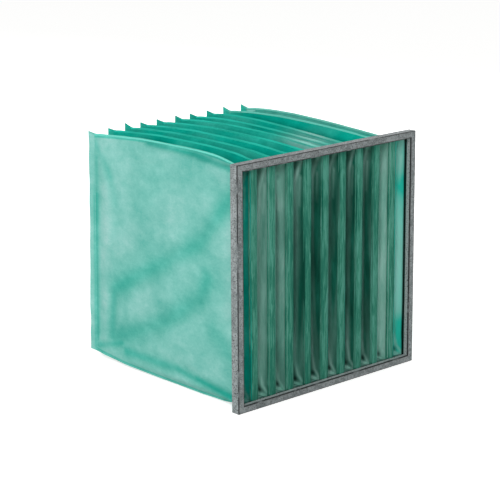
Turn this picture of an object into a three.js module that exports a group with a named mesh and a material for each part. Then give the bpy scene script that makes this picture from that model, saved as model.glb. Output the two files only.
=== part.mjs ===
// Bag air filter: ten wedge pockets of nonwoven fabric in a header frame of galvanised steel.
// Millimetres, +Z up. The mouth faces -Y and the pockets reach towards +Y.
// The origin is at the base: centre of the width, centre of the overall depth, underside of the frame.

import * as THREE from 'three';

// Header frame, folded from sheet
const headerWidth = 592;
const headerHeight = 592;
const headerDepth = 25;
const headerSheet = 1;
const headerBend = 0.6;
const frontFlange = 17.5;
const returnLip = 13;
const rearFlange = 9.5;

// Clearance between pieces that touch, and the gap in each mitre
const fit = 0.3;

// Flat strips that press the pocket edges against the return lip
const clampSheet = 1.2;

// Corner angles inside the header channel
const angleSheet = 1.5;
const angleBend = 2;
const angleToBar = 10;

// Upright divider bars, folded channels open to the rear
const barWidth = 14.6;
const barSheet = 0.8;
const barBend = 0.6;

// Binding strips folded over each bar and the pocket edges beside it
const bindingFabric = 2.1;
const bindingFold = 1;
const bindingLeg = 16;

// Pockets
const pocketCount = 10;
const overallDepth = 600;
const pocketFabric = 2.5;
const mouthCorner = 0.6;
const seamFlange = 7;
const seamFabric = 2.6;
const rearSeam = 9;
const pocketBelly = 5;
const edgeRise = 12.6;
const rearDip = 10;
const rearEar = 4;
const wallRipple = 3;

// Sideways lean of each pocket's rear seam, as they hang
const rearLean = [11, 15, 10, 3, 0, 3, -5, -4, -3, 1];

// Places along a pocket, from the end of its collar to its rear seam
const outerStations = [0, 0.03, 0.09, 0.2, 0.36, 0.54, 0.72, 0.86, 0.945, 0.975, 1];
const innerStations = [0.03, 0.09, 0.2, 0.36, 0.54, 0.72, 0.86];

const halfWidth = headerWidth / 2;
const halfHeight = headerHeight / 2;

// The pocket edges lie on the channel side of the return lip, between it and the clamp strips.
const collarInset = frontFlange - headerSheet - fit - pocketFabric;
const collarHalfX = halfWidth - collarInset;
const collarHalfZ = halfHeight - collarInset;
const channelFront = headerSheet + fit;

// Behind the return lip come the bindings, and behind them the bars, which end at the rear flange.
const bindingFront = returnLip + fit;
const barFront = bindingFront + bindingFabric + fit;
const barDepth = headerDepth - headerSheet - fit - barFront;
const collarEnd = headerDepth + fit;

// Equal mouths share the width that the bars leave.
const barSlot = barWidth + 2 * fit;
const mouthWidth = (2 * collarHalfX - (pocketCount - 1) * barSlot) / pocketCount;
const pitch = mouthWidth + barSlot;
const bindingWidth = barWidth + 2 * (2 * fit + pocketFabric + bindingFabric);
const barX = (k) => (k - pocketCount / 2) * pitch;

const galvanised = new THREE.MeshStandardMaterial({ color: 0x83888a, roughness: 0.5, metalness: 0.8 });
const plainSteel = new THREE.MeshStandardMaterial({ color: 0x74797c, roughness: 0.55, metalness: 0.8 });
const bindingCloth = new THREE.MeshStandardMaterial({ color: 0x3f8a72, roughness: 0.9, metalness: 0 });
const pocketCloth = new THREE.MeshStandardMaterial({ color: 0x74bfb0, roughness: 0.95, metalness: 0 });

function named(name, geometry, material) {
  const mesh = new THREE.Mesh(geometry, material);
  mesh.name = name;
  return mesh;
}

// A sheet folded along corner points and seen end on. The points run along its outside, every fold
// turns left, and the sheet's thickness lies to the left of them.
function foldedSection(points, sheet, bend) {
  const outside = points.map(([x, y]) => new THREE.Vector2(x, y));
  const along = outside.slice(1).map((p, i) => p.clone().sub(outside[i]).normalize());
  const inside = outside.map((p, i) => {
    const before = along[Math.max(i - 1, 0)];
    const after = along[Math.min(i, along.length - 1)];
    const left = new THREE.Vector2(-before.y - after.y, before.x + after.x);
    return p.clone().addScaledVector(left, sheet / (1 + before.dot(after)));
  });
  const shape = new THREE.Shape();
  const trace = (line, radius) => line.forEach((p, i) => {
    if (i === 0 || i === line.length - 1) {
      shape.lineTo(p.x, p.y);
      return;
    }
    const start = p.clone().sub(line[i - 1]).setLength(radius);
    const end = line[i + 1].clone().sub(p).setLength(radius).add(p);
    shape.lineTo(p.x - start.x, p.y - start.y);
    shape.quadraticCurveTo(p.x, p.y, end.x, end.y);
  });
  shape.moveTo(outside[0].x, outside[0].y);
  trace(outside, bend + sheet);
  trace(inside.reverse(), bend);
  return shape;
}

// A bar of constant section, centred along Z. Its ends slope in by endCut(x) for a mitre.
function bar(shape, length, endCut = () => 0) {
  const geometry = new THREE.ExtrudeGeometry(shape, { depth: length, bevelEnabled: false, curveSegments: 2 });
  geometry.translate(0, 0, -length / 2);
  const at = geometry.attributes.position;
  for (let i = 0; i < at.count; i += 1) {
    at.setZ(i, at.getZ(i) - Math.sign(at.getZ(i)) * endCut(at.getX(i)));
  }
  return geometry;
}

const mitre = (x) => x + fit / 2;

// The frame's four sides. Each is made as the left one and turned about Y into its place.
const sides = [
  { name: 'left', turn: 0, x: -halfWidth, z: halfHeight, length: headerHeight },
  { name: 'bottom', turn: -Math.PI / 2, x: 0, z: 0, length: headerWidth },
  { name: 'right', turn: Math.PI, x: halfWidth, z: halfHeight, length: headerHeight },
  { name: 'top', turn: Math.PI / 2, x: 0, z: headerHeight, length: headerWidth },
];

function onEachSide(suffix, section, material) {
  const group = new THREE.Group();
  for (const { name, turn, x, z, length } of sides) {
    const piece = named(`${name}_${suffix}`, bar(section, length, mitre), material);
    piece.position.set(x, 0, z);
    piece.rotation.y = turn;
    group.add(piece);
  }
  return group;
}

// Channel rail: rear flange, outer web, front flange and the lip that turns back into the mouth.
function headerRails() {
  const section = foldedSection([
    [rearFlange, headerDepth],
    [0, headerDepth],
    [0, 0],
    [frontFlange, 0],
    [frontFlange, returnLip],
  ], headerSheet, headerBend);
  return onEachSide('rail', section, galvanised);
}

// Clamp strip: flat bar in the channel, on the outside of the pocket edges.
function clampStrips() {
  const outer = collarInset - fit - clampSheet;
  const section = new THREE.Shape([
    new THREE.Vector2(outer, channelFront),
    new THREE.Vector2(outer + clampSheet, channelFront),
    new THREE.Vector2(outer + clampSheet, returnLip),
    new THREE.Vector2(outer, returnLip),
  ]);
  return onEachSide('clamp_strip', section, plainSteel);
}

// Corner angle: a folded plate in the channel, against the outer webs of two rails.
function cornerAngles() {
  const group = new THREE.Group();
  const leg = halfWidth - barX(pocketCount - 1) - barWidth / 2 - angleToBar;
  const section = foldedSection([[channelFront, leg], [channelFront, channelFront], [leg, channelFront]],
    angleSheet, angleBend);
  const corners = [
    { name: 'bottom_left', turn: 0, x: -halfWidth, z: 0 },
    { name: 'bottom_right', turn: -Math.PI / 2, x: halfWidth, z: 0 },
    { name: 'top_right', turn: Math.PI, x: halfWidth, z: headerHeight },
    { name: 'top_left', turn: Math.PI / 2, x: -halfWidth, z: headerHeight },
  ];
  for (const { name, turn, x, z } of corners) {
    const plate = bar(section, headerDepth - 2 * channelFront).rotateX(Math.PI / 2);
    const angle = named(`corner_angle_${name}`, plate, plainSteel);
    angle.position.set(x, headerDepth / 2, z);
    angle.rotation.y = turn;
    group.add(angle);
  }
  return group;
}

// A channel section with its back to the front and its legs to the rear.
function channelSection(width, depth, sheet, bend) {
  return foldedSection([
    [-width / 2, depth],
    [-width / 2, 0],
    [width / 2, 0],
    [width / 2, depth],
  ], sheet, bend);
}

function dividers() {
  const group = new THREE.Group();
  const barShape = channelSection(barWidth, barDepth, barSheet, barBend);
  const barLength = headerHeight - 2 * channelFront;
  const bindingShape = channelSection(bindingWidth, bindingLeg, bindingFabric, bindingFold);
  const bindingLength = 2 * (collarHalfZ - pocketFabric - mouthCorner - fit);
  for (let k = 1; k < pocketCount; k += 1) {
    const number = String(k).padStart(2, '0');
    const steelBar = named(`divider_bar_${number}`, bar(barShape, barLength), plainSteel);
    steelBar.position.set(barX(k), barFront, halfHeight);
    const binding = named(`divider_binding_${number}`, bar(bindingShape, bindingLength), bindingCloth);
    binding.position.set(barX(k), bindingFront, halfHeight);
    group.add(steelBar, binding);
  }
  return group;
}

const mix = (a, b, t) => a + (b - a) * t;
const bell = (distance) => Math.exp(-distance * distance);

// Half width of a pocket: it tapers from the mouth to the seam, with a belly that air has given it.
function pocketHalfWidth(v) {
  const seamStart = 1 - rearSeam / (overallDepth - collarEnd);
  const taper = mix(mouthWidth, seamFabric, Math.min(v / seamStart, 1)) / 2;
  return taper + pocketBelly * Math.sin(Math.PI * Math.min(v / seamStart, 1) ** 0.55);
}

// Half height of a pocket: both edges arch, and the top one dips before its ear at the rear corner.
function pocketHalfHeight(v, up) {
  const arch = edgeRise * Math.max(Math.sin(Math.PI * v), 0) ** 0.35;
  const corner = rearEar * bell((v - 0.985) / 0.02) - rearDip * bell((v - 0.945) / 0.02);
  return collarHalfZ + arch + (up > 0 ? corner : 0);
}

// The two walls bend together, so neighbours keep their distance.
function pocketDrift(k, v, z) {
  const ripple = Math.sin(1.7 * k + 2 * Math.PI * z / headerHeight) * Math.sin(Math.PI * v);
  return rearLean[k % rearLean.length] * v * v + wallRipple * ripple;
}

// One half of a pocket's section at place v, from its bottom edge to its top edge, as x and z from the
// middle. At the mouth it is a rectangle, and further back two walls that arch into a seam flange.
function pocketSide(v, lining) {
  const open = 1 - THREE.MathUtils.smoothstep(v, 0.03, 0.16);
  const wall = lining ? pocketFabric : 0;
  const w = pocketHalfWidth(v) - wall;
  const seam = lining ? seamFabric / 4 : seamFabric / 2;
  const flange = seamFlange * (1 - open);
  const corner = lining ? mouthCorner : mouthCorner + pocketFabric;
  const archSteps = lining ? [1, 0.88, 0.66, 0.33, 0] : [1, 1, 0.66, 0.33, 0];
  const halves = [-1, 1].map((up) => {
    const b = pocketHalfHeight(v, up);
    const edge = b - wall;
    const root = b - flange - wall;
    const rise = 6 + 1.15 * pocketHalfWidth(v) - wall;
    const mouth = [[w * 0.08, edge], [w * 0.35, edge], [w * 0.65, edge], [w - corner, edge], [w, edge - corner]];
    return archSteps.map((step, i) => {
      const pocketX = seam + (w - seam) * (1 - step * step);
      const pocketZ = i === 0 && !lining ? b : root - rise * (1 - step);
      return [mix(pocketX, mouth[i][0], open), up * mix(pocketZ, mouth[i][1], open)];
    });
  });
  const [low, high] = halves;
  const shoulders = [low[4][1], high[4][1]];
  const walls = [1 / 3, 2 / 3].map((share) => [w, mix(shoulders[0], shoulders[1], share)]);
  return [...low, ...walls, ...high.reverse()];
}

// A closed ring of points round pocket k at place v, up its right side and down its left.
function pocketRing(k, v, lining, yAt) {
  const side = pocketSide(v, lining);
  const ring = [...side.map(([x, z]) => [x, z]), ...side.toReversed().map(([x, z]) => [-x, z])];
  return ring.map(([x, z]) => new THREE.Vector3(x + pocketDrift(k, v, z), yAt(x), z));
}

// At its mouth a pocket reaches into the channel, apart from the walls and corners beside a bar, which
// stop behind its binding.
function pocketMouthY(k, x) {
  const reachesBar = Math.abs(x) > mouthWidth / 2 - pocketFabric - mouthCorner - fit;
  const hasBar = x < 0 ? k > 0 : k < pocketCount - 1;
  return reachesBar && hasBar ? barFront : channelFront;
}

// A shell lofted through rings: outside from mouth to rear, inside back to the mouth, joined at the rim.
function loftShell(outerRings, innerRings) {
  const count = outerRings[0].length;
  const rings = [...innerRings.toReversed(), ...outerRings];
  const positions = rings.flat().flatMap((p) => p.toArray());
  const triangles = [];
  const quad = (a, b, c, d) => triangles.push(a, b, c, a, c, d);
  for (let r = 0; r + 1 < rings.length; r += 1) {
    for (let i = 0; i < count; i += 1) {
      const next = (i + 1) % count;
      quad(r * count + i, (r + 1) * count + i, (r + 1) * count + next, r * count + next);
    }
  }
  const last = (rings.length - 1) * count;
  for (let i = 0; i + 1 < count / 2; i += 1) {
    const across = [i, i + 1, count - 2 - i, count - 1 - i];
    quad(...across);
    quad(...across.toReversed().map((corner) => last + corner));
  }
  const geometry = new THREE.BufferGeometry();
  geometry.setAttribute('position', new THREE.Float32BufferAttribute(positions, 3));
  geometry.setIndex(triangles);
  return geometry;
}

function pocketGeometry(k) {
  const place = (v) => mix(collarEnd, overallDepth, v);
  const rings = (stations, lining) => [
    pocketRing(k, 0, lining, (x) => pocketMouthY(k, x)),
    ...stations.map((v) => pocketRing(k, v, lining, () => place(v))),
  ];
  return loftShell(rings(outerStations, false), rings(innerStations, true));
}

function pockets() {
  const group = new THREE.Group();
  for (let k = 0; k < pocketCount; k += 1) {
    const pocket = named(`pocket_${String(k + 1).padStart(2, '0')}`, pocketGeometry(k), pocketCloth);
    pocket.position.set(barX(k + 0.5), 0, halfHeight);
    group.add(pocket);
  }
  return group;
}

const filter = new THREE.Group();
filter.add(headerRails(), clampStrips(), cornerAngles(), dividers(), pockets());
filter.position.y = -overallDepth / 2;

export default filter;
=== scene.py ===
# %% [markdown]
# # A bag air filter
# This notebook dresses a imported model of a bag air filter. The real object is a square frame of galvanised
# steel with ten deep pockets of green nonwoven fabric. Air blows into the open mouths at the front, swells
# the pockets and leaves through their walls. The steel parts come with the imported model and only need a
# finish. The fabric is what the eye reads first, so most of the cells are about cloth.

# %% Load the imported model
import math

import bpy
import bmesh
import numpy as np
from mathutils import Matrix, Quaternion, Vector, noise


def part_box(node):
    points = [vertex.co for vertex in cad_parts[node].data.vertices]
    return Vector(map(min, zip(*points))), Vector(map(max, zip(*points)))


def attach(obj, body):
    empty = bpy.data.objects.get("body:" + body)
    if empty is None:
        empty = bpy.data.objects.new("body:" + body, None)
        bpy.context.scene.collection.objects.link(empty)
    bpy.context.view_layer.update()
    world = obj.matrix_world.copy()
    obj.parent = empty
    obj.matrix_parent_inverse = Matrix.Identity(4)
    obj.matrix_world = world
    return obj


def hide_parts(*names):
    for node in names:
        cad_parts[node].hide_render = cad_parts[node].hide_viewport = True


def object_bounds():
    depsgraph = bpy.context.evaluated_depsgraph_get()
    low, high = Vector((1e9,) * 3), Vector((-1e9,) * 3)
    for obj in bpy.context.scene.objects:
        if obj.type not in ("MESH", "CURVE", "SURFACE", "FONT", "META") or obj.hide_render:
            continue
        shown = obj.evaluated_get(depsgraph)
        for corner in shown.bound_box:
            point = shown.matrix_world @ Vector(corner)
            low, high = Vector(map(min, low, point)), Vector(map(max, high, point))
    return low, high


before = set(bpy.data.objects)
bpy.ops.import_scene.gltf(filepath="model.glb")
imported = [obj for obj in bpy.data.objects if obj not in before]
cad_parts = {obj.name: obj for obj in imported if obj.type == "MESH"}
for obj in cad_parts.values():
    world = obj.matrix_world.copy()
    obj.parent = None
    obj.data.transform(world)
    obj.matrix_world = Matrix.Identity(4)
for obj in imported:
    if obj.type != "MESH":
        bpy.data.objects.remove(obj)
cad_low, cad_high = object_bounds()
print("solid model from", tuple(cad_low), "to", tuple(cad_high))

# %% [markdown]
# ## Camera
# The picture was taken with a long lens, a little above the frame and well to its left, so that the left
# pocket's wall and the open mouths share the view. A long lens keeps the uprights of the frame parallel.

# %% Camera
azimuth = math.radians(-42.53)
elevation = math.radians(14.71)
roll = math.radians(-0.34)
distance = 4.675
sensor_width = 36
focal_share = 3.7258
target = Vector((0.0167, 0.0, 0.283))

camera_data = bpy.data.cameras.new("camera")
camera_data.sensor_width = sensor_width
camera_data.lens = sensor_width * focal_share
camera = bpy.data.objects.new("camera", camera_data)
bpy.context.scene.collection.objects.link(camera)
backwards = Vector((
    math.sin(azimuth) * math.cos(elevation),
    -math.cos(azimuth) * math.cos(elevation),
    math.sin(elevation),
))
camera.location = target + backwards * distance
camera.rotation_mode = "QUATERNION"
camera.rotation_quaternion = (-backwards).to_track_quat("-Z", "Y") @ Quaternion((0, 0, 1), roll)
bpy.context.scene.camera = camera
print("lens", round(camera_data.lens, 1), "mm, camera", round(distance, 2), "m away")

# %% [markdown]
# ## Node helpers
# Colours are written as hex values, as a paint chart gives them. Blender's shaders work in linear light, so
# one function turns a hex value into linear numbers. A second one adds a shader node: it takes the node's
# settings, for each input either a value or the socket to link to it, and for a colour ramp its stops.

# %% Colour and node helpers
def colour(hex_value):
    channels = [int(hex_value[i:i + 2], 16) / 255 for i in (1, 3, 5)]
    linear = [c / 12.92 if c <= 0.04045 else ((c + 0.055) / 1.055) ** 2.4 for c in channels]
    return (*linear, 1.0)


def add_node(tree, kind, inputs=None, stops=(), **settings):
    node = tree.nodes.new(kind)
    for name, value in settings.items():
        setattr(node, name, value)
    for name, value in (inputs or {}).items():
        socket = node.inputs[name]
        if isinstance(value, bpy.types.NodeSocket):
            tree.links.new(value, socket)
        else:
            socket.default_value = value
    if stops:
        elements = node.color_ramp.elements
        while len(elements) < len(stops):
            elements.new(0.5)
        for element, (position, hex_value) in zip(elements, stops):
            element.position = position
            element.color = colour(hex_value)
    return node


def new_material(name):
    material = bpy.data.materials.new(name)
    material.use_nodes = True
    tree = material.node_tree
    tree.nodes.clear()
    return material, tree


print("white is", colour("#ffffff"))

# %% [markdown]
# ## Floor and light
# The floor is one large pale plane. The photograph's background is plain white, and a lit floor is never
# quite white, so the floor adds a little light of its own that only the camera and reflections see. It
# still darkens where the filter stands and keeps its shadow. The world does the same: it lights the scene
# at a plain level but shows white.

# %% Floor
floor_radius = 14
floor_glow = 0.59


def seen_directly(tree):
    path = add_node(tree, "ShaderNodeLightPath")
    seen = path.outputs["Is Camera Ray"]
    for ray in ("Is Glossy Ray", "Is Transmission Ray"):
        either = add_node(tree, "ShaderNodeMath", {0: seen, 1: path.outputs[ray]}, operation="MAXIMUM")
        seen = either.outputs[0]
    return seen


def deselect_all():
    bpy.ops.object.select_all(action="DESELECT")


deselect_all()
bpy.ops.mesh.primitive_circle_add(vertices=96, radius=floor_radius, fill_type="NGON")
floor = bpy.context.object
floor.name = "floor"
# emulsion paint on a board scatters light evenly, so no highlight shows on the floor
pale, tree = new_material("matt white paint")
own_light = add_node(tree, "ShaderNodeMath", {0: seen_directly(tree), 1: floor_glow}, operation="MULTIPLY")
glow = add_node(tree, "ShaderNodeEmission", {"Color": colour("#ffffff"), "Strength": own_light.outputs[0]})
matt = add_node(tree, "ShaderNodeBsdfDiffuse", {"Color": colour("#f2f2f0")})
both = add_node(tree, "ShaderNodeAddShader", {0: matt.outputs[0], 1: glow.outputs[0]})
add_node(tree, "ShaderNodeOutputMaterial", {"Surface": both.outputs[0]})
floor.data.materials.append(pale)
print("floor", round(floor.dimensions.x), "m across")

# %% [markdown]
# The brightest face in the photograph is the left pocket, and of the others only their ridges are bright. So
# a large soft lamp stands low on the left. It reaches over the first pocket to the ridges, but not down
# between the pockets. A second lamp high in front lights the frame, the floors of the mouths and the valleys,
# and one on the right glows through the last pocket's outer wall.

# %% World and lamps
world_light = 0.42
world = bpy.data.worlds.new("studio")
bpy.context.scene.world = world
world.use_nodes = True
tree = world.node_tree
tree.nodes.clear()
soft = add_node(tree, "ShaderNodeBackground", {"Color": colour("#ffffff"), "Strength": world_light})
white = add_node(tree, "ShaderNodeBackground", {"Color": colour("#ffffff"), "Strength": 1.0})
choice = add_node(tree, "ShaderNodeMixShader", {"Fac": seen_directly(tree), 1: soft.outputs[0],
                                                2: white.outputs[0]})
add_node(tree, "ShaderNodeOutputWorld", {"Surface": choice.outputs[0]})


def soft_lamp(name, place, watts, size):
    data = bpy.data.lights.new(name, "AREA")
    data.energy = watts
    data.size = size
    lamp = bpy.data.objects.new(name, data)
    bpy.context.scene.collection.objects.link(lamp)
    lamp.location = place
    lamp.rotation_mode = "QUATERNION"
    lamp.rotation_quaternion = (target - Vector(place)).to_track_quat("-Z", "Y")


soft_lamp("left lamp", (-4.2, 0.55, 1.25), 78, 1.6)
soft_lamp("front lamp", (-3.0, -3.2, 3.2), 96, 1.8)
soft_lamp("right lamp", (3.9, 1.0, 1.4), 125, 1.8)
bpy.context.scene.view_settings.view_transform = "Standard"
print("three lamps and a plain world")

# %% [markdown]
# ## Galvanised steel
# The header is folded from hot-dip galvanised sheet. Zinc leaves the bath in crystals called spangles, a few
# millimetres to a few centimetres wide, each with its own grey. It weathers to a dull surface with dark
# pits and smears, and it cracks and darkens along the two folds of each rail. The turned-in lip gets a
# painted highlight: it is painted a light grey so that it reads as brightly lit as the front face. The folds
# lie at known distances from the middle of the frame, so two soft steps on that distance make a line.

# %% Patterns with a real size
def per_metre(millimetres):
    """Scale of a pattern whose features are this far apart."""
    return 1000 / millimetres


def line_mask(tree, position, low, high, soft):
    rise = add_node(tree, "ShaderNodeMapRange", {"Value": position, 1: low - soft, 2: low + soft})
    fall = add_node(tree, "ShaderNodeMapRange", {"Value": position, 1: high - soft, 2: high + soft})
    band = add_node(tree, "ShaderNodeMath", {0: rise.outputs[0], 1: fall.outputs[0]}, operation="SUBTRACT")
    return band.outputs[0]


print("a 6.7 mm spangle has scale", round(per_metre(6.7)))

# %% Worn folds of the rails
middle_z = (cad_low.z + cad_high.z) / 2
outer_fold = (0.2944, 0.3)
inner_fold = (0.2775, 0.2810)
front_face = (-0.2964, -0.2974)
fold_blur = 0.0004


def worn_folds(tree, place):
    """The fold lines on a rail's front face, and the lip that is turned in behind the inner one, which gets a
    painted highlight.
    """
    axes = add_node(tree, "ShaderNodeSeparateXYZ", {"Vector": place})
    across = add_node(tree, "ShaderNodeMath", {0: axes.outputs[0]}, operation="ABSOLUTE")
    upright = add_node(tree, "ShaderNodeMath", {0: axes.outputs[2], 1: middle_z}, operation="SUBTRACT")
    upright = add_node(tree, "ShaderNodeMath", {0: upright.outputs[0]}, operation="ABSOLUTE")
    reach = add_node(tree, "ShaderNodeMath", {0: across.outputs[0], 1: upright.outputs[0]},
                     operation="MAXIMUM")
    outer = line_mask(tree, reach.outputs[0], *outer_fold, fold_blur)
    inner = line_mask(tree, reach.outputs[0], *inner_fold, fold_blur)
    folds = add_node(tree, "ShaderNodeMath", {0: outer, 1: inner}, operation="MAXIMUM")
    at_front = add_node(tree, "ShaderNodeMapRange", {"Value": axes.outputs[1], 1: front_face[0],
                                                     2: front_face[1]})
    lines = add_node(tree, "ShaderNodeMath", {0: folds.outputs[0], 1: at_front.outputs[0]},
                     operation="MULTIPLY")
    behind = add_node(tree, "ShaderNodeMath", {0: inner, 1: at_front.outputs[0]}, operation="SUBTRACT")
    lip_highlight = add_node(tree, "ShaderNodeClamp", {"Value": behind.outputs[0]})
    return lines.outputs[0], lip_highlight.outputs[0]


print("fold lines", 1000 * outer_fold[0], "and", 1000 * inner_fold[0], "mm from the middle")

# %% [markdown]
# The metal itself gets a Voronoi pattern for the spangles, a finer noise for the bloom on them, a broad one
# for the smears, and small dark pits that are also a little sunk.

# %% Material: galvanised sheet
def galvanised_sheet():
    # weathered zinc is dull: the light it mirrors is soft and weak, and its greys are those of the crystals
    material, tree = new_material("galvanised sheet, weathered")
    place = add_node(tree, "ShaderNodeTexCoord").outputs["Object"]
    spangle = add_node(tree, "ShaderNodeTexVoronoi", {"Vector": place, "Scale": per_metre(6.7),
                                                      "Randomness": 1.0})
    crystal = add_node(tree, "ShaderNodeSeparateColor", {"Color": spangle.outputs["Color"]})
    bloom = add_node(tree, "ShaderNodeTexNoise", {"Vector": place, "Scale": per_metre(3.8), "Detail": 5.0,
                                                  "Roughness": 0.65})
    smear = add_node(tree, "ShaderNodeTexNoise", {"Vector": place, "Scale": per_metre(29), "Detail": 3.0})
    mixed = add_node(tree, "ShaderNodeMath", {0: crystal.outputs[0], 1: 0.25, 2: bloom.outputs["Fac"]},
                     operation="MULTIPLY_ADD")
    total = add_node(tree, "ShaderNodeMath", {0: smear.outputs["Fac"], 1: 0.6, 2: mixed.outputs[0]},
                     operation="MULTIPLY_ADD")
    grey = add_node(tree, "ShaderNodeValToRGB", {"Fac": total.outputs[0]},
                    stops=[(0.55, "#4d5455"), (0.8, "#6b7273"), (0.95, "#787f80"), (1.0, "#8b9192")])
    lines, lip_highlight = worn_folds(tree, place)
    # painted highlight: the face of the turned-in lip is painted a light grey, so that it reads as lit like
    # the front face
    grey = add_node(tree, "ShaderNodeMix", {0: lip_highlight, 6: grey.outputs["Color"], 7: colour("#bec5c6")},
                    data_type="RGBA")
    pit_noise = add_node(tree, "ShaderNodeTexNoise", {"Vector": place, "Scale": per_metre(3), "Detail": 2.0})
    pits = add_node(tree, "ShaderNodeMapRange", {"Value": pit_noise.outputs["Fac"], 1: 0.58, 2: 0.66})
    broken = add_node(tree, "ShaderNodeMapRange", {"Value": smear.outputs["Fac"], 1: 0.30, 2: 0.46})
    cracks = add_node(tree, "ShaderNodeMath", {0: lines, 1: broken.outputs[0]}, operation="MULTIPLY")
    dark = add_node(tree, "ShaderNodeMath", {0: cracks.outputs[0], 1: pits.outputs[0]}, operation="MAXIMUM")
    base = add_node(tree, "ShaderNodeMix", {0: dark.outputs[0], 6: grey.outputs[2], 7: colour("#181c1d")},
                    data_type="RGBA")
    rough = add_node(tree, "ShaderNodeMapRange", {"Value": bloom.outputs["Fac"], 1: 0.3, 2: 0.7, 3: 0.5,
                                                  4: 0.68})
    height = add_node(tree, "ShaderNodeMath", {0: smear.outputs["Fac"], 1: dark.outputs[0]},
                      operation="SUBTRACT")
    dents = add_node(tree, "ShaderNodeBump", {"Height": height.outputs[0], "Distance": 0.0006,
                                              "Strength": 0.5})
    metal = add_node(tree, "ShaderNodeBsdfPrincipled", {
        "Base Color": base.outputs[2], "Metallic": 0.3, "Roughness": rough.outputs[0],
        "Normal": dents.outputs["Normal"]})
    add_node(tree, "ShaderNodeOutputMaterial", {"Surface": metal.outputs[0]})
    return material


zinc = galvanised_sheet()
print("material", zinc.name)

# %% [markdown]
# The divider bars, clamp strips and corner angles sit inside the header. They are cut from cold rolled strip,
# which has no spangles, so a plain metal with a faint grain does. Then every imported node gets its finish.

# %% Material: rolled strip
def rolled_strip():
    # bright strip mirrors its surroundings in a blur, with a faint cloudy grain from the rolls
    material, tree = new_material("steel strip, bright rolled")
    place = add_node(tree, "ShaderNodeTexCoord").outputs["Object"]
    grain = add_node(tree, "ShaderNodeTexNoise", {"Vector": place, "Scale": per_metre(6.2), "Detail": 4.0})
    grey = add_node(tree, "ShaderNodeValToRGB", {"Fac": grain.outputs["Fac"]},
                    stops=[(0.3, "#6d7273"), (0.7, "#8b9091")])
    metal = add_node(tree, "ShaderNodeBsdfPrincipled", {
        "Base Color": grey.outputs["Color"], "Metallic": 1.0, "Roughness": 0.42})
    add_node(tree, "ShaderNodeOutputMaterial", {"Surface": metal.outputs[0]})
    return material


steel = rolled_strip()
for name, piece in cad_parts.items():
    finish = zinc if name.endswith("_rail") else steel
    for slot in piece.material_slots:
        slot.material = finish
print("finish on", len(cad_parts), "packed nodes")

# %% [markdown]
# ## Nonwoven cloth
# The pockets are cut from needled polyester fleece: short fibres laid in a web, punched together and bonded
# with heat. It has no threads. The web is uneven, so it looks cloudy over a hand's width, streaky over a few
# centimetres and fibrous close up. Single fibres are far too fine to show in the picture, so the finest
# streaks are drawn 4.3 mm apart.

# %% Pattern of a fibre web
def fibre_web(tree, stretch, contrast, streaky):
    """How thin the web is at each point, from 0 to 1, and how high its nap stands."""
    place = add_node(tree, "ShaderNodeTexCoord").outputs["Object"]
    stretched = add_node(tree, "ShaderNodeMapping", {"Vector": place, "Scale": stretch}).outputs[0]
    cloud = add_node(tree, "ShaderNodeTexNoise", {"Vector": place, "Scale": per_metre(125), "Detail": 2.0})
    clump = add_node(tree, "ShaderNodeTexNoise", {"Vector": stretched, "Scale": per_metre(24), "Detail": 4.0,
                                                  "Roughness": 0.6})
    fibre = add_node(tree, "ShaderNodeTexNoise", {"Vector": stretched, "Scale": per_metre(4.3), "Detail": 4.0,
                                                  "Roughness": 0.7, "Distortion": 0.6})
    clumps = add_node(tree, "ShaderNodeMath", {0: clump.outputs["Fac"], 1: 0.8, 2: cloud.outputs["Fac"]},
                      operation="MULTIPLY_ADD")
    total = add_node(tree, "ShaderNodeMath", {0: fibre.outputs["Fac"], 1: streaky, 2: clumps.outputs[0]},
                     operation="MULTIPLY_ADD")
    even = 0.9 + 0.5 * streaky
    web = add_node(tree, "ShaderNodeMapRange", {"Value": total.outputs[0], 1: even - 1.2 / contrast,
                                                2: even + 1.2 / contrast})
    height = add_node(tree, "ShaderNodeMath", {0: clump.outputs["Fac"], 1: fibre.outputs["Fac"]})
    return web.outputs[0], height.outputs[0]


print("clouds", per_metre(125), "and clumps", round(per_metre(24), 1), "to a metre")
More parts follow.
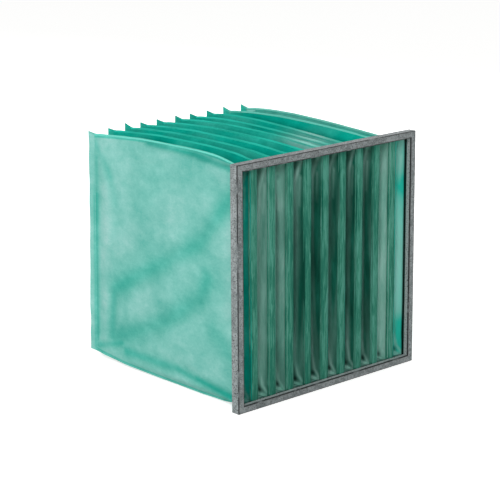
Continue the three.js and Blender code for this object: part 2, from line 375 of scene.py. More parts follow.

# %% [markdown]
# The fibres scatter light both ways: a lit wall also glows a little on its far side, which a Translucent
# shader gives. Three attributes of the mesh say how deep a green the web is, from pressing and from painted
# shade, how far a point lies from the cut edge beyond the stitches, and how much painted shadow lies on it in
# a gap or corner. The web is finer and greener on the clean side than on the side where the air comes in, so
# the inside of a pocket has a greyer fleece of its own, whose darkest greens are the painted shade in the
# mouths.

# %% Material: fleece
def fleece(name, loose, pressed, glow, stretch, contrast, streaky=0.6):
    # loose fibres leave no shine, only a trace of sheen; high values of the first attribute give deep green,
    # for web that is pressed and for painted shade
    material, tree = new_material(name)
    web, height = fibre_web(tree, stretch, contrast, streaky)
    density_and_shade = add_node(tree, "ShaderNodeAttribute", attribute_name="pressed").outputs["Fac"]
    from_edge = add_node(tree, "ShaderNodeAttribute", attribute_name="from_edge").outputs["Fac"]
    groove = add_node(tree, "ShaderNodeAttribute", attribute_name="groove").outputs["Fac"]
    # a band 5 to 9 mm from the seam turns deeper green: the stitches press the web there, and it is also
    # painted shade for the shadow of the fold under the flange
    stitched_and_shaded = add_node(tree, "ShaderNodeMapRange", {"Value": from_edge, 1: 0.009, 2: 0.005, 3: 0.0, 4: 0.7})
    darkest = add_node(tree, "ShaderNodeMath", {0: density_and_shade, 1: stitched_and_shaded.outputs[0]}, operation="MAXIMUM")
    shades = [add_node(tree, "ShaderNodeValToRGB", {"Fac": web}, stops=list(zip((0.36, 0.5, 0.64), three)))
              for three in (loose, pressed)]
    shade = add_node(tree, "ShaderNodeMix", {0: darkest.outputs[0], 6: shades[0].outputs["Color"],
                                             7: shades[1].outputs["Color"]}, data_type="RGBA")
    # the cut edges beyond the stitches fray a little, and they are painted a light mint as a painted
    # highlight where the ridges catch the light
    frayed_and_lit = add_node(tree, "ShaderNodeMix", {0: density_and_shade, 6: colour("#b4ebe2"), 7: colour("#36d2bf")},
                      data_type="RGBA")
    beyond = add_node(tree, "ShaderNodeMapRange", {"Value": from_edge, 1: 0.0016, 2: 0.0006})
    shade = add_node(tree, "ShaderNodeMix", {0: beyond.outputs[0], 6: shade.outputs[2],
                                             7: frayed_and_lit.outputs[2]}, data_type="RGBA")
    # painted shadow: a near-black green mixed in where shade falls in gaps, corners and folds
    shade = add_node(tree, "ShaderNodeMix", {0: groove, 6: shade.outputs[2], 7: colour("#0f1f1b")},
                     data_type="RGBA").outputs[2]
    nap = add_node(tree, "ShaderNodeBump", {"Height": height, "Distance": 0.0012, "Strength": 0.35})
    cloth = add_node(tree, "ShaderNodeBsdfPrincipled", {
        "Base Color": shade, "Roughness": 0.95, "Specular IOR Level": 0.0, "Sheen Weight": 0.03,
        "Sheen Roughness": 0.5, "Normal": nap.outputs["Normal"]})
    through = add_node(tree, "ShaderNodeBsdfTranslucent", {"Color": shade, "Normal": nap.outputs["Normal"]})
    mixed = add_node(tree, "ShaderNodeMixShader", {"Fac": glow, 1: cloth.outputs[0], 2: through.outputs[0]})
    add_node(tree, "ShaderNodeOutputMaterial", {"Surface": mixed.outputs[0]})
    return material


# each fleece's second trio is its deep green, used where the web is pressed and where painted shade lies
pocket_fleece = fleece("polyester fleece, needled", ("#72c0b5", "#92cdc5", "#b0d9d5"),
                       ("#00a391", "#05b8a4", "#22ccb9"), 0.25, (1.0, 0.6, 1.0), 0.9)
# the dark end of the air side's fleece is the painted shade inside the dark mouths
lining_fleece = fleece("polyester fleece, air side", ("#8ed3c2", "#a6e0d1", "#bfeee3"),
                       ("#145d4c", "#1a705c", "#278570"), 0.2, (1.0, 1.0, 0.15), 1.5)
binding_fleece = fleece("polyester fleece, pressed", ("#2c7663", "#3f8974", "#579f8c"),
                        ("#1d6a57", "#2b7c68", "#3f8d7a"), 0.08, (1.0, 1.0, 0.08), 1.4, 2.2)
print("three fleeces: the pockets' clean side, their air side and the strips pressed round the bars")

# %% [markdown]
# ## The pockets
# Each pocket is cut from two flat sheets that are sewn together along the top, the rear and the bottom. The
# fourth edge is clamped open in the frame. A bag like that could be lofted by hand, but the soft puckers
# beside a seam are hard to invent. So the sheets are laid out as a maker would, sewn, opened at the mouth,
# and then a cloth simulation blows them up a little.
#
# First come the sizes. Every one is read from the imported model, so the cloth meets the steel. Only the room
# between cloth and steel, the visible cloth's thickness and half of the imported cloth's are given.

# %% Sizes read from the frame
fit = 0.0003
fabric = 0.0018
cloth_half = 0.00125
bars = [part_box(f"divider_bar_{k:02d}") for k in range(1, 10)]
edges = [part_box("left_clamp_strip")[1].x]
for bar in bars:
    edges += [bar[0].x, bar[1].x]
edges.append(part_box("right_clamp_strip")[0].x)
mouths = [(edges[i] + fit + cloth_half, edges[i + 1] - fit - cloth_half) for i in range(0, len(edges), 2)]
edge_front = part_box("top_clamp_strip")[0].y
wall_front = bars[0][0].y
collar_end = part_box("top_rail")[1].y + fit
collar_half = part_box("top_clamp_strip")[0].z - fit - cloth_half - middle_z
mouth_half = (mouths[1][1] - mouths[1][0]) / 2
print(len(mouths), "mouths, each", round(2000 * mouth_half, 1), "mm wide and",
      round(2000 * collar_half), "mm high")

# %% [markdown]
# A sheet starts as a grid, and a second one is laid on it. The edges that are sewn lie on each other, so
# merging the doubles sews them. While the sheets are flat, each point's place in the grid is easy to read,
# so it is noted for later: how deep it is, how far down, and on which sheet.

# %% Cut and sew two sheets
cells_deep = 46
cells_high = 46


def grid_sheet(name, lift):
    deselect_all()
    bpy.ops.mesh.primitive_grid_add(x_subdivisions=cells_deep, y_subdivisions=cells_high, size=1)
    sheet = bpy.context.object
    sheet.name = name
    for vert in sheet.data.vertices:
        sewn = vert.co.x > 0.499 or abs(vert.co.y) > 0.499
        vert.co.z = 0 if sewn else lift
    return sheet


def sewn_sheets():
    outer = grid_sheet("pouch", 1)
    inner = grid_sheet("inner_sheet", -1)
    bpy.ops.object.mode_set(mode="EDIT")
    bpy.ops.mesh.select_all(action="SELECT")
    bpy.ops.mesh.flip_normals()
    bpy.ops.object.mode_set(mode="OBJECT")
    outer.select_set(True)
    bpy.context.view_layer.objects.active = outer
    bpy.ops.object.join()
    bpy.ops.object.mode_set(mode="EDIT")
    bpy.ops.mesh.select_all(action="SELECT")
    bpy.ops.mesh.remove_doubles(threshold=0.001)
    bpy.ops.object.mode_set(mode="OBJECT")
    return outer


pouch = sewn_sheets()
flat = np.array([v.co for v in pouch.data.vertices])
sheet_side = np.sign(np.round(flat[:, 2]))
depth_step = np.round((flat[:, 0] + 0.5) * cells_deep).astype(int)
height_step = np.round((0.5 - flat[:, 1]) * cells_high).astype(int)
print(len(flat), "points in two sewn sheets")

# %% [markdown]
# The sheets are opened into the shape that the air gives them: a rectangle at the mouth, then two walls that
# arch together into the top and bottom seams and taper to the flat rear seam. The two arches are read off
# the photograph, as pairs of a share of the pocket's length and a height in millimetres beyond the collar.

# %% Arches of the long seams
flange_width = 0.003
rear_flange = 0.020
seam_end = cad_high.y - rear_flange
top_arch = [(0, 0), (0.08, 9.4), (0.16, 15.5), (0.25, 18), (0.36, 18), (0.52, 16.2), (0.66, 13.9),
            (0.82, 7), (0.95, 0.6), (1, -3)]
bottom_arch = [(0, 0), (0.1, 8), (0.25, 9.5), (0.5, 8.8), (0.65, 7.8), (0.8, 6), (0.94, 0), (1, -5.5)]


def half_height(v, up):
    """Height of a long seam over the middle line at the share v of the pocket's length."""
    places, rises = zip(*(top_arch if up else bottom_arch))
    return collar_half + 0.001 * np.interp(v, places, rises)


def closer_at_ends(count, share):
    t = np.linspace(0, 1, count)
    return t - share * np.sin(2 * np.pi * t) / (2 * np.pi)


corner_run = mouth_half
side_run = 2 * collar_half
corner_shares = np.array([0, 0.5, 1])
shares = np.concatenate([
    corner_shares * corner_run,
    corner_run + side_run * closer_at_ends(cells_high - 3, 0.4)[1:-1],
    side_run + corner_run * (2 - corner_shares[::-1]),
]) / (side_run + 2 * corner_run)
print("the arch rises", round(1000 * (half_height(0.3, True) - collar_half)), "mm over the collar")

# %% [markdown]
# A section is one upright line of points on one wall. At the mouth it runs round two square corners, and
# within the first seventh of the length it turns into a soft arch. The points are also written down flat, as
# the cloth was cut. The simulation compares the two and finds where the cloth has to pucker.

# %% Sections of an opened pocket
belly = 0.0042
square_share = 0.14


def spread(x, z):
    run = np.concatenate([[0], np.cumsum(np.hypot(np.diff(x), np.diff(z)))])
    places = shares * run[-1]
    return np.array([np.interp(places, run, x), np.interp(places, run, z)]), run[-1]


def pocket_section(v):
    half_width = mouth_half * (1 - v) + belly * math.sin(math.pi * v ** 0.55)
    rise = 0.006 + 1.15 * half_width
    climb = np.linspace(1, 0, 40)
    arch = half_width * (1 - climb ** 2)
    upper = half_height(v, 1) - rise + climb * rise
    lower = half_height(v, 0) - rise + climb * rise
    soft, length = spread(np.concatenate([arch, arch[::-1]]), np.concatenate([upper, -lower[::-1]]))
    corner_x = np.array([0, mouth_half, mouth_half, 0])
    corner_z = np.array([collar_half, collar_half, -collar_half, -collar_half])
    stiff, stiff_length = spread(corner_x, corner_z)
    share = min(v / square_share, 1)
    share = share * share * (3 - 2 * share)
    return stiff + (soft - stiff) * share, stiff_length + (length - stiff_length) * share


fractions = np.concatenate([[0], closer_at_ends(cells_deep, 0.5)])
row_y = collar_end + (seam_end - collar_end) * fractions
row_y[0] = wall_front
sections = [pocket_section(v) for v in fractions]
row_shape = np.array([s[0] for s in sections])
row_length = np.array([s[1] for s in sections])
print("cloth round a pocket:", round(2 * row_length[0], 3), "m at the mouth and",
      round(2 * row_length[-1], 3), "m at the rear")

# %% Opened and cut shapes
def opened_points():
    x = row_shape[depth_step, 0, height_step] * sheet_side
    z = row_shape[depth_step, 1, height_step]
    y = row_y[depth_step]
    clamped = (depth_step == 0) & (np.abs(x) < mouth_half - 0.001)
    return np.stack([x, np.where(clamped, edge_front, y), z], -1)


def cut_points(slack):
    y = wall_front + (row_y[depth_step] - wall_front) * (1 + slack)
    z = row_length[depth_step] * (0.5 - shares[height_step]) * (1 + slack)
    return np.stack([np.zeros_like(y), y, z], -1)


print("an opened pocket is", round(np.ptp(opened_points()[:, 1]), 3), "m deep")

# %% [markdown]
# Now the air. Blender's Cloth gets a light pressure and no gravity, the mouth and the rear seam are pinned,
# and twenty-odd frames are run. The result is copied to the mesh and the modifier is taken off, so nothing
# is left to move.

# %% Blow up a pocket
air_frames = 22
cloth_settings = {
    "quality": 6, "mass": 0.05, "tension_stiffness": 15, "compression_stiffness": 15, "shear_stiffness": 6,
    "bending_stiffness": 0.5, "tension_damping": 10, "compression_damping": 10, "shear_damping": 10,
    "bending_damping": 1, "air_damping": 3, "use_pressure": True, "vertex_group_mass": "pins",
}


def air_filled(piece, cut, pressure):
    piece.shape_key_add(name="Basis")
    rest = piece.shape_key_add(name="cut")
    rest.data.foreach_set("co", cut.ravel())
    rest.value = 0
    pins = piece.vertex_groups.new(name="pins")
    held = (depth_step <= 1) | (depth_step == cells_deep)
    pins.add(np.flatnonzero(held).tolist(), 1.0, "REPLACE")
    cloth = piece.modifiers.new("cloth", "CLOTH")
    for name, value in cloth_settings.items():
        setattr(cloth.settings, name, value)
    cloth.settings.uniform_pressure_force = pressure
    cloth.settings.rest_shape_key = rest
    cloth.settings.effector_weights.gravity = 0
    cloth.collision_settings.use_collision = False
    cloth.collision_settings.use_self_collision = False
    cloth.point_cache.frame_end = air_frames
    for step in range(1, air_frames + 1):
        bpy.context.scene.frame_set(step)
    swollen = piece.evaluated_get(bpy.context.evaluated_depsgraph_get()).data
    points = np.array([v.co for v in swollen.vertices])
    bpy.context.scene.frame_set(1)
    piece.modifiers.clear()
    piece.shape_key_clear()
    piece.vertex_groups.clear()
    return points


print("each pocket is blown up for", air_frames, "frames")

# %% [markdown]
# ## Folds, sags and bulges
# A filter comes folded up in a carton, and its two outer walls keep the broad soft folds. Each is drawn as a
# line on the wall, and a point near the line lies a little deeper and gets a little painted shade. Folds that
# stand out get a painted highlight instead and have negative numbers. The right wall has the same folds as
# the left one, turned about.

# %% Folds from the carton
outer_wall = {0: 1, 9: -1}
carton_folds = [
    # half width, how much painted shade the fold gets (below 0 a painted highlight), how deep the fold lies,
    # then its points as (y, z)
    (0.010, 0.25, 0.0008, (0.268, 0.520), (0.270, 0.430)),
    (0.011, 0.50, 0.0015, (0.270, 0.425), (0.274, 0.250), (0.275, 0.050)),
    (0.022, -0.22, -0.0040, (0.245, 0.540), (0.226, 0.450), (0.228, 0.250), (0.236, 0.060)),
    (0.017, 0.34, 0.0030, (0.282, 0.560), (0.240, 0.522), (0.210, 0.477)),
    (0.020, 0.20, 0.0015, (0.225, 0.500), (0.185, 0.420)),
    (0.026, 0.42, 0.0030, (-0.262, 0.520), (-0.154, 0.383), (0.053, 0.272), (0.200, 0.195)),
    (0.018, 0.42, 0.0020, (0.200, 0.195), (0.208, 0.130), (0.210, 0.070)),
    (0.026, 0.36, 0.0020, (0.208, 0.070), (0.090, 0.115), (-0.018, 0.165), (-0.144, 0.244),
     (-0.174, 0.299)),
    (0.011, 0.45, 0.0015, (0.280, 0.030), (0.170, 0.062)),
    (0.014, 0.45, 0.0020, (0.150, 0.043), (-0.094, 0.049)),
    (0.013, 0.58, 0.0022, (-0.055, 0.048), (-0.262, 0.026)),
    (0.012, 0.70, 0.0025, (-0.130, 0.042), (-0.262, 0.026)),
    (0.007, 0.60, 0.0015, (0.060, 0.588), (-0.120, 0.587), (-0.262, 0.574)),
    (0.030, 0.22, 0.0010, (-0.190, 0.180), (-0.262, 0.120)),
    (0.026, -0.22, -0.0010, (-0.190, 0.580), (-0.262, 0.540)),
    (0.020, -0.20, -0.0010, (-0.262, 0.440), (-0.250, 0.240)),
    (0.035, -0.12, -0.0020, (0.170, 0.300), (0.060, 0.380), (-0.080, 0.450)),
]


def nearness(half_width, line, y, z):
    """1 on the line, falling to 0 a little beyond its half width."""
    near = np.zeros(len(y))
    for (y1, z1), (y2, z2) in zip(line, line[1:]):
        run = np.array([y2 - y1, z2 - z1])
        along = np.clip(((y - y1) * run[0] + (z - z1) * run[1]) / (run @ run), 0, 1)
        away = np.hypot(y - y1 - along * run[0], z - z1 - along * run[1])
        near = np.maximum(near, np.exp(-(away / half_width) ** 2))
    return near


def folded(y, z, what):
    """What the carton's folds add at the points: a share of painted shade, negative for a painted highlight,
    or a depth in metres.
    """
    deeper = np.zeros(len(y))
    lighter = np.zeros(len(y))
    for half_width, density_and_shade, depth, *line in carton_folds:
        amount = nearness(half_width, line, y, z) * (density_and_shade if what == "density_and_shade" else depth)
        deeper = np.maximum(deeper, amount)
        lighter = np.minimum(lighter, amount)
    return deeper + lighter


print(len(carton_folds), "folds on each outer wall")

# %% [markdown]
# Just behind the frame, each wall bulges into the mouth by some millimetres, because stiff strips pinch the
# cloth there. Each pocket has bulges of its own for its two walls, and a sag for the front of its top seam.

# %% Bulges behind the frame
sags = [0, 0.003, 0.006, 0.008, 0.010, 0.012, 0.019, 0.025, 0.014, 0.022]
puff_length = 0.085
puffs = [(0.004, 0.004), (0.008, 0.011), (0.008, 0.011), (0.005, 0.009), (0.002, 0.000),
         (0.003, 0.002), (0.002, -0.002), (0.002, -0.002), (0.006, 0.012), (0.006, 0.013)]
puff_end = 0.06


def puffed(k, points):
    """How far each wall bulges into the mouth, just behind the frame."""
    t = np.clip((points[:, 1] - collar_end) / puff_length, 0, 1)
    swell = 6.75 * t * (1 - t) ** 2
    uneven = [0.75 + 0.9 * noise.noise(Vector((4.1 * k + side, 6.5 * z, 2.0)))
              for side, z in zip(sheet_side, points[:, 2])]
    ends = 1 - np.clip((np.abs(points[:, 2]) - collar_half + puff_end) / puff_end, 0, 1) ** 2
    most = np.where(sheet_side < 0, puffs[k][0], puffs[k][1])
    return most * swell * ends * np.array(uneven)


print("the top seams sag by up to", 1000 * max(sags), "mm")

# %% [markdown]
# The simulated pocket is then fitted to the frame: its seams are brought to the arch that they have in the
# photograph, its rear seam to the pocket's length, and it leans a little, as each real one does. Its two
# walls never come nearer to each other than the cloth is thick.

# %% Fit a pocket to its place
rear_lean = [0.011, 0.015, 0.010, 0.003, 0.0, 0.003, -0.005, -0.004, -0.003, 0.001]
wall_ripple = 0.003
widest_half = 0.0245


def arched(k, points):
    """Bring both long seams to their arch, and the rest of each row with them."""
    for up in (1, -1):
        seam = (sheet_side == 0) & (height_step == (0 if up > 0 else cells_high)) & (depth_step > 0)
        seam_z = points[seam, 2][np.argsort(depth_step[seam])]
        slump = np.clip(fractions[1:] / 0.1, 0, 1) ** 2 * np.clip((0.85 - fractions[1:]) / 0.6, 0, 1)
        wanted = (half_height(fractions[1:], up > 0) - sags[k] * slump * (up > 0)) * up
        ratio = np.convolve(np.pad(wanted / seam_z, 2, mode="edge"), np.ones(5) / 5, mode="valid")
        ratio = np.concatenate([[1], ratio])
        half = np.sign(points[:, 2]) == up
        points[half, 2] *= ratio[depth_step[half]]


def fitted(k, points):
    points = points.copy()
    v = np.clip((points[:, 1] - collar_end) / (seam_end - collar_end), 0, 1)
    arched(k, points)
    points[:, 1] += (seam_end - points[depth_step == cells_deep, 1].mean()) * v * v
    over = np.maximum(np.abs(points[:, 0]) - widest_half, 0)
    points[:, 0] -= np.sign(points[:, 0]) * (over - 0.002 * np.tanh(over / 0.004))
    ripple = np.sin(1.7 * k + np.pi * (points[:, 2] + middle_z) / middle_z) * np.sin(np.pi * v)
    points[:, 0] -= sheet_side * puffed(k, points)
    if k in outer_wall:
        hollow = folded(points[:, 1], points[:, 2] * outer_wall[k] + middle_z, "depth")
        points[:, 0] += np.where(sheet_side == -outer_wall[k], outer_wall[k] * hollow, 0)
    apart = np.maximum(points[:, 0] * sheet_side, 0.7 * fabric)
    points[:, 0] = np.where((sheet_side != 0) & (depth_step > 1), sheet_side * apart, points[:, 0])
    upper_half = 0.5 + 0.5 * points[:, 2] / collar_half
    points[:, 0] += sum(mouths[k]) / 2 + rear_lean[k] * v * v * upper_half + wall_ripple * ripple
    points[:, 2] += middle_z
    return points


print("the rear seams lean by up to", 1000 * max(rear_lean), "mm")

# %% [markdown]
# ## Where the cloth is pale or deep green, with painted shade and light
# The cloth isn't the same green everywhere. The walls between two pockets, where little light reaches, get
# painted shade and look deep green, and so does the line where the two sheets are stitched, which the
# stitches also press. The two outer walls stay pale, and a few tops get painted light where the light reaches
# them. The first attribute holds this green for the outside of the cloth.

# %% Density outside
first_pocket = 0
last_pocket = len(mouths) - 1
outward_side = 0.02
# the tops of pockets 6 to 8 that get painted light, with the depth y where it is brightest
lit_tops = {5: -0.18, 6: -0.14, 7: -0.11}


def paint(mesh, **values):
    for name, numbers in values.items():
        layer = mesh.attributes.new(name, "FLOAT", "POINT")
        layer.data.foreach_set("value", np.broadcast_to(numbers, len(mesh.vertices)).astype(np.float32))


def wall_folds(k, y, z):
    return folded(y, middle_z + outer_wall[k] * (z - middle_z), "density_and_shade")


def outside_painted_shade(k, y, z, side, patchy):
    # the walls between pockets are deep green: painted shade, as little light reaches between them; the outer
    # walls stay pale
    density_and_shade = 0.97 + 0.15 * patchy
    # painted light: a pale patch on these tops, where the light reaches them
    if k in lit_tops:
        density_and_shade -= 0.75 * np.exp(-((y - lit_tops[k]) / 0.07) ** 2) * np.clip((z - 0.54) / 0.03, 0, 1)
    # painted light: a pale band along the last pocket's top seam
    if k == last_pocket:
        density_and_shade -= 0.75 * np.clip((z - 0.565) / 0.02, 0, 1)
    if k in outer_wall:
        loose = 0.22 + 0.15 * patchy + wall_folds(k, y, z)
        density_and_shade = np.where(side * outer_wall[k] < outward_side, loose, density_and_shade)
    return np.clip(density_and_shade, 0, 1)


print("pale tops on pockets", [k + 1 for k in lit_tops])

# %% [markdown]
# Inside, each mouth gets a painted shade of its own, from 0 for pale to 1 for deep green. A painted light
# streak runs down each wall a little behind the frame, and painted highlights lie on the folds where the wall
# turns into the upper and the lower corner. The last pocket is lit through its outer wall, in patches.

# %% Density inside the mouths
# painted shade inside each mouth, from 0 for pale to 1 for deep green
mouth_painted_shade = [1.0, 0.6, 0.55, 0.9, 1.0, 0.9, 0.95, 0.9, 0.2, 0.4]
mouth_fold_highlights = {
    # for the upper and the lower end: half width, how strong the painted highlight is, then points as (depth,
    # distance from the lip)
    1: [(0.0055, 0.8, (0.052, 0.170), (0.048, 0.060), (0.036, 0.020), (0.024, 0.002)),
        (0.0040, 0.5, (0.036, 0.120), (0.034, 0.050))],
    -1: [(0.0055, 0.7, (0.052, 0.150), (0.048, 0.060), (0.040, 0.022), (0.026, 0.006)),
         (0.0060, 0.9, (0.055, 0.000), (0.020, 0.000))],
}
fold_reach = 0.11
lit_streak_depth = 0.049


def inside_painted_shade(k, y, z, side, streaks):
    depth = y - cad_low.y + 0.005 * math.sin(2.4 * k)
    from_lip = collar_half - np.abs(z - middle_z)
    # painted light: a pale streak on each wall about 49 mm behind the frame, where the bulging wall faces the
    # light
    pale = 0.6 * np.exp(-((depth - lit_streak_depth) / 0.006) ** 2) * np.clip(0.4 + 1.6 * streaks, 0, 1)
    fading = np.exp(-(from_lip / fold_reach) ** 2)
    for end in (1, -1):
        here = np.sign(z - middle_z) == end
        fold_highlight = np.zeros(len(y))
        for half_width, share, *line in mouth_fold_highlights[end]:
            fold_highlight = np.maximum(fold_highlight, nearness(half_width, line, depth, from_lip) * share)
        pale = np.where(here, pale + fading * fold_highlight, pale)
    shade = mouth_painted_shade[k] + 0.35 * streaks
    if k == last_pocket:
        lower = np.clip((0.13 - z) / 0.03, 0, 1)
        upper = np.exp(-((z - 0.455) / 0.03) ** 2)
        shade = np.where(side < 0, 1.0, shade + 0.55 * np.maximum(lower, upper))
    return np.clip(shade - pale, 0, 1)


print("mouth shades", mouth_painted_shade)

# %% [markdown]
# The second attribute holds painted shadow: in the narrow gap behind the frame's lip, in the one beside the
# first bar, in the deep lower corner of each mouth, and a little in the folds of the two outer walls. The
# last pocket's outer wall has light behind it, so its inside is painted as bright as a cut edge.

# %% Painted shadow in the grooves, and painted glow through the thin wall
groove_end = cad_low.y + 0.0245
lining_end = cad_low.y + 0.11
lip_reach = 0.006
facing_wall = 0.3


def fold_shadow(k, y, z, side):
    if k not in outer_wall:
        return np.zeros(len(y))
    folds = np.clip(wall_folds(k, y, z), 0, 1)
    return np.where(side * outer_wall[k] < outward_side, 0.24 * folds, 0)


# painted shadow behind the frame's lip, beside the first bar and in the lower corner of each mouth
def groove_shade(k, y, z, side):
    from_lip = collar_half - np.abs(z - middle_z)
    right = (k == last_pocket) & (side > facing_wall)
    left = (k == first_pocket) & (side < -facing_wall)
    shadow_behind_lip = np.clip((groove_end - y) / 0.004, 0, 1) * ((from_lip < lip_reach) | right | left)
    corner = np.exp(-((y - cad_low.y - 0.047) / 0.008) ** 2 - ((from_lip - 0.011) / 0.007) ** 2)
    beside = (k == first_pocket) & (side > facing_wall)
    shadow_by_bar = 0.35 * np.clip((cad_low.y + 0.034 - y) / 0.01, 0, 1) * beside
    return np.maximum(np.maximum(shadow_behind_lip, shadow_by_bar), 0.8 * corner * (z < middle_z))


# painted light: the last pocket's outer wall, seen from inside, is painted as bright as a cut edge, for the
# light that shines through it
def paint_glow_through_wall(k, mesh, first_inner):
    layer = mesh.attributes["from_edge"].data
    side = mesh.attributes["side"].data
    for i in range(first_inner, len(side)):
        if k == last_pocket and side[i].value > facing_wall:
            layer[i].value = 0.0


print("the lining reaches", round(1000 * (lining_end - cad_low.y)), "mm deep")

# %% [markdown]
# The shades use two noises: slow patches for the outside and tall narrow streaks for the mouths. Seams and
# the square corners of the mouth are creased, so that the subdivision leaves them sharp.

# %% Shades and creases of one pocket
hidden_density = 0.3


def cloth_shades(k, mesh):
    places = np.array([v.co for v in mesh.vertices])
    side = np.array([item.value for item in mesh.attributes["side"].data])
    y, z = places[:, 1], places[:, 2]
    patchy = np.array([noise.noise(Vector((3.0 * k, 9.0 * p[1], 9.0 * p[2]))) for p in places])
    streaks = np.array([noise.noise(Vector((8.0 * k + p[0] * 20, 60.0 * p[1], 6.0 * p[2]))) for p in places])
    outside = outside_painted_shade(k, y, z, side, patchy)
    hidden = hidden_density if k in outer_wall else outside
    inside = np.where(y < lining_end, inside_painted_shade(k, y, z, side, streaks), hidden)
    return outside, inside, fold_shadow(k, y, z, side), groove_shade(k, y, z, side)


def crease_seams(mesh):
    crease = mesh.attributes.new("crease_edge", "FLOAT", "EDGE")
    for edge in mesh.edges:
        a, b = edge.vertices
        on_seam = sheet_side[a] == 0 and sheet_side[b] == 0
        on_corner = all(height_step[i] in (2, cells_high - 2) and depth_step[i] < 4 for i in (a, b))
        crease.data[edge.index].value = float(on_seam or on_corner)


print("shades for the outer and the inner shell")

# %% [markdown]
# ## Flange along the seams
# The flange is a flat double layer outside the stitches: narrow along the top and bottom, and wider at the
# rear, where it carries the light band that the photograph shows. It is lofted outwards from the seam's own
# points, with a small ruffle and a pointed ear at each rear corner, and given the thickness of two sheets.

# %% Chain of points round the seam
def seam_chain():
    index = {(depth_step[i], height_step[i]): i for i in np.flatnonzero(sheet_side == 0)}
    long_edge = [(d, min(0.6 + 6 * fractions[d], 1) * flange_width) for d in range(1, cells_deep + 1)]
    top = [(index[d, 0], (0, rear_flange * (d == cells_deep), width)) for d, width in long_edge]
    rear = [(index[cells_deep, h], (0, rear_flange, 0)) for h in range(1, cells_high)]
    low = [(index[d, cells_high], (0, rear_flange * (d == cells_deep), -width)) for d, width in long_edge]
    chain = top + rear + low[::-1]
    return np.array([c[0] for c in chain]), np.array([c[1] for c in chain])


seam_index, seam_outward = seam_chain()
print(len(seam_index), "points along the seam of a pocket")

# %% Strip of double cloth
flange_steps = (-0.35, 0.05, 0.45, 0.8, 1.0)
# how deep a green each pocket's flange is: the ridges of pockets 1, 9 and 10 are paler, as painted light
# where the lamps reach them; the rest share the painted shade of their walls
flange_density_and_shade = {0: 0.65, 8: 0.6, 9: 0.35}
ears = [0.0042, 0.003, 0.0085, 0.004, 0.0047, 0.006, 0.005, 0.0055, 0.008, 0.007]
ear_place = cells_deep - 1
whole_web = 0.05


def flange_mesh(k, points):
    base = points[seam_index]
    outwards = seam_outward.copy()
    outwards[ear_place, 2] += ears[k]
    verts = []
    for step in flange_steps:
        for i, (place, outward) in enumerate(zip(base, outwards)):
            ruffle = noise.noise(Vector((k * 7.3, i * 0.21, step * 0.6))) * 0.0028 * max(step, 0)
            spot = place + outward * step
            verts.append((spot[0] + ruffle, spot[1], spot[2]))
    count = len(base)
    faces = [(r * count + i, r * count + i + 1, (r + 1) * count + i + 1, (r + 1) * count + i)
             for r in range(len(flange_steps) - 1) for i in range(count - 1)]
    mesh = bpy.data.meshes.new("flange")
    mesh.from_pydata(verts, [], faces)
    return mesh, np.array(verts)


def flange_strip(k, points):
    mesh, verts = flange_mesh(k, points)
    y, z = verts[:, 1], verts[:, 2]
    pressed = np.full(len(verts), flange_density_and_shade.get(k, 1.0))
    # painted light on the flanges of the same tops
    if k in lit_tops:
        pressed -= 0.9 * np.exp(-((y - lit_tops[k]) / 0.06) ** 2)
    # on the first pocket, a painted shadow darkens the rear flange just in front of the seam; the other
    # pockets' rear flanges are deep green like their walls
    plain = (y > seam_end - 0.004) | (z < middle_z)
    shadow_by_seam = np.clip((seam_end + 0.009 - y) / 0.006, 0, 1) * np.clip((0.47 - z) / 0.06, 0, 1)
    pressed = np.where(plain, 0.15 + 0.4 * shadow_by_seam if k == first_pocket else 0.9, pressed)
    paint(mesh, pressed=pressed, from_edge=whole_web * plain, groove=0.0)
    pointed = mesh.attributes.new("crease_vert", "FLOAT", "POINT")
    last_row = (len(flange_steps) - 1) * len(seam_index)
    for tip in np.flatnonzero(seam_outward[:, 1] * seam_outward[:, 2] != 0) + last_row:
        pointed.data[int(tip)].value = 1.0
    mesh.materials.append(pocket_fleece)
    strip = bpy.data.objects.new("flange", mesh)
    bpy.context.scene.collection.objects.link(strip)
    return strip


print("ears from", 1000 * min(ears), "to", 1000 * max(ears), "mm high")

# %% [markdown]
# ## Ten pockets
# Every pocket starts as a copy of the sewn sheets. The wall gets its thickness from Solidify, which also
# gives the inner shell the lining's finish where it shows in the mouth. The two outer pockets have the plain
# fleece inside as well, because light shines through them.

# %% Cloth with thickness and shades
def apply_modifier(piece, kind, **settings):
    deselect_all()
    piece.select_set(True)
    bpy.context.view_layer.objects.active = piece
    modifier = piece.modifiers.new(kind.lower(), kind)
    for name, value in settings.items():
        setattr(modifier, name, value)
    bpy.ops.object.modifier_apply(modifier=modifier.name)


def finish_cloth(k, piece):
    from_edge = row_length[depth_step] * np.minimum(shares[height_step], 1 - shares[height_step])
    paint(piece.data, side=sheet_side, from_edge=from_edge)
    crease_seams(piece.data)
    for finish in (pocket_fleece, lining_fleece):
        piece.data.materials.append(finish)
    apply_modifier(piece, "SUBSURF", levels=1, render_levels=1)
    outside, inside, shadow, groove = cloth_shades(k, piece.data)
    lining = 0 if k in outer_wall else 1
    apply_modifier(piece, "SOLIDIFY", thickness=fabric, offset=-1, material_offset=lining,
                   material_offset_rim=lining)
    for face in piece.data.polygons:
        if face.center.y > lining_end:
            face.material_index = 0
    paint(piece.data, pressed=np.concatenate([outside, inside]), groove=np.concatenate([shadow, groove]))
    paint_glow_through_wall(k, piece.data, len(outside))


def join_flange(piece, flange):
    apply_modifier(flange, "SUBSURF", levels=1, render_levels=1)
    apply_modifier(flange, "SOLIDIFY", thickness=0.0022, offset=0)
    deselect_all()
    flange.select_set(True)
    piece.select_set(True)
    bpy.context.view_layer.objects.active = piece
    bpy.ops.object.join()
    bpy.ops.object.shade_smooth_by_angle(angle=math.radians(50))


print("cloth", 1000 * fabric, "mm thick")

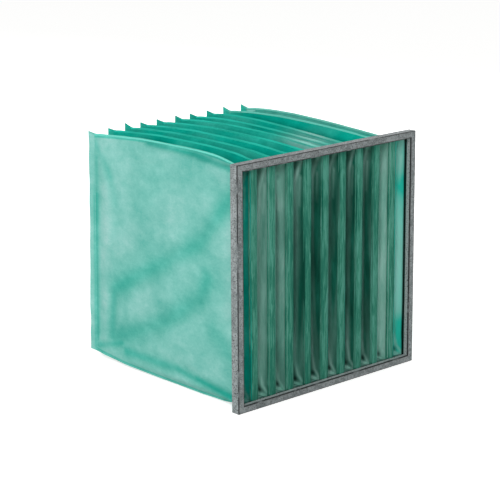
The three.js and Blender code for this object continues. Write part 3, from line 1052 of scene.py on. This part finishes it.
# %% Make the ten pockets
pressures = [0.15, 0.13, 0.17, 0.14, 0.16, 0.15, 0.13, 0.16, 0.14, 0.16]
slack = 0.012
pockets = []
for k in range(len(mouths)):
    name = f"pocket_{k + 1:02d}"
    sewn_pocket = pouch.copy()
    sewn_pocket.data = pouch.data.copy()
    sewn_pocket.name = sewn_pocket.data.name = "cloth_" + name
    bpy.context.scene.collection.objects.link(sewn_pocket)
    points = opened_points()
    sewn_pocket.data.vertices.foreach_set("co", points.ravel())
    points = air_filled(sewn_pocket, cut_points(slack), pressures[k])
    print(name, "rear", points[depth_step == cells_deep, 1].mean().round(4), "half width",
          np.abs(points[:, 0]).max().round(4), "half height", np.abs(points[:, 2]).max().round(4))
    points = fitted(k, points)
    sewn_pocket.data.vertices.foreach_set("co", points.ravel())
    sewn_pocket.data.update()
    finish_cloth(k, sewn_pocket)
    join_flange(sewn_pocket, flange_strip(k, points))
    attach(sewn_pocket, "root")
    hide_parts(name)
    pockets.append(sewn_pocket)
bpy.data.objects.remove(pouch)
print(len(pockets), "pockets of", len(pockets[0].data.polygons), "faces each")

# %% [markdown]
# ## Bindings round the divider bars
# Between two mouths the cloth is folded round a steel bar and pinched by a U-shaped strip of the same
# fleece in a darker green. It starts as a box without a back, top and bottom. Its long front edges are
# bevelled, it is cut across so that it can sway, and Solidify gives it the thickness of the cloth.

# %% A U-shaped strip
leg_depth = 0.010
tuck = 0.0024
half_wall = 0.001
lengths = 56


def folded_strip(name, low, high):
    size = high - low
    deselect_all()
    bpy.ops.mesh.primitive_cube_add(size=1, location=(low + high) / 2)
    strip = bpy.context.object
    strip.name = strip.data.name = name
    strip.scale = (size.x - 2 * half_wall, size.y - 2 * half_wall, size.z)
    bpy.ops.object.transform_apply(location=True, rotation=True, scale=True)
    bpy.ops.object.mode_set(mode="EDIT")
    edit = bmesh.from_edit_mesh(strip.data)
    for face in edit.faces:
        face.select = face.normal.y > 0.5 or abs(face.normal.z) > 0.5
    bmesh.update_edit_mesh(strip.data)
    bpy.ops.mesh.delete(type="ONLY_FACE")
    edit = bmesh.from_edit_mesh(strip.data)
    bpy.ops.mesh.select_all(action="DESELECT")
    for edge in edit.edges:
        upright = abs(edge.verts[0].co.z - edge.verts[1].co.z) > 0.1
        edge.select = upright and not edge.is_boundary
    bmesh.update_edit_mesh(strip.data)
    bpy.ops.mesh.bevel(offset=0.0035, segments=3, affect="EDGES")
    for cut in range(1, lengths):
        bpy.ops.mesh.select_all(action="SELECT")
        bpy.ops.mesh.bisect(plane_co=(0, 0, low.z + size.z * cut / lengths), plane_no=(0, 0, 1))
    bpy.ops.object.mode_set(mode="OBJECT")
    return strip


print("a strip has legs of", 1000 * leg_depth, "mm")

# %% [markdown]
# The strips aren't straight, because the cloth pulls at them. Three slow noises along the height make each
# one sway, pinch and bulge by a millimetre or two.

# %% Nine bindings
def binding(k):
    name = f"divider_binding_{k:02d}"
    low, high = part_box(name)
    high.y = low.y + leg_depth
    low.z -= tuck
    high.z += tuck
    strip = folded_strip("cloth_" + name, low, high)
    middle = (low.x + high.x) / 2
    for vert in strip.data.vertices:
        place = vert.co
        side = (place.x - middle) / ((high - low).x / 2)
        sway = noise.noise(Vector((k * 5.1, place.z * 4.0, 0.3)))
        pinch = noise.noise(Vector((k * 5.1, place.z * 9.0, 7.7 + side)))
        crown = (1 - side * side) * (place.y < low.y + 0.004)
        place.x += 0.0016 * sway + 0.0016 * pinch * side
        place.y -= 0.0011 * crown * (0.6 + noise.noise(Vector((k * 2.2, place.z * 14.0, 3.0))))
    strip.data.update()
    paint(strip.data, pressed=0.0, from_edge=whole_web, groove=0.0)
    apply_modifier(strip, "SOLIDIFY", thickness=2 * half_wall, offset=0)
    apply_modifier(strip, "SUBSURF", levels=1, render_levels=1)
    bpy.ops.object.shade_smooth_by_angle(angle=math.radians(60))
    strip.data.materials.append(binding_fleece)
    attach(strip, "root")
    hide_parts(name)
    return strip


bindings = [binding(k) for k in range(1, len(bars) + 1)]
print(len(bindings), "bindings")
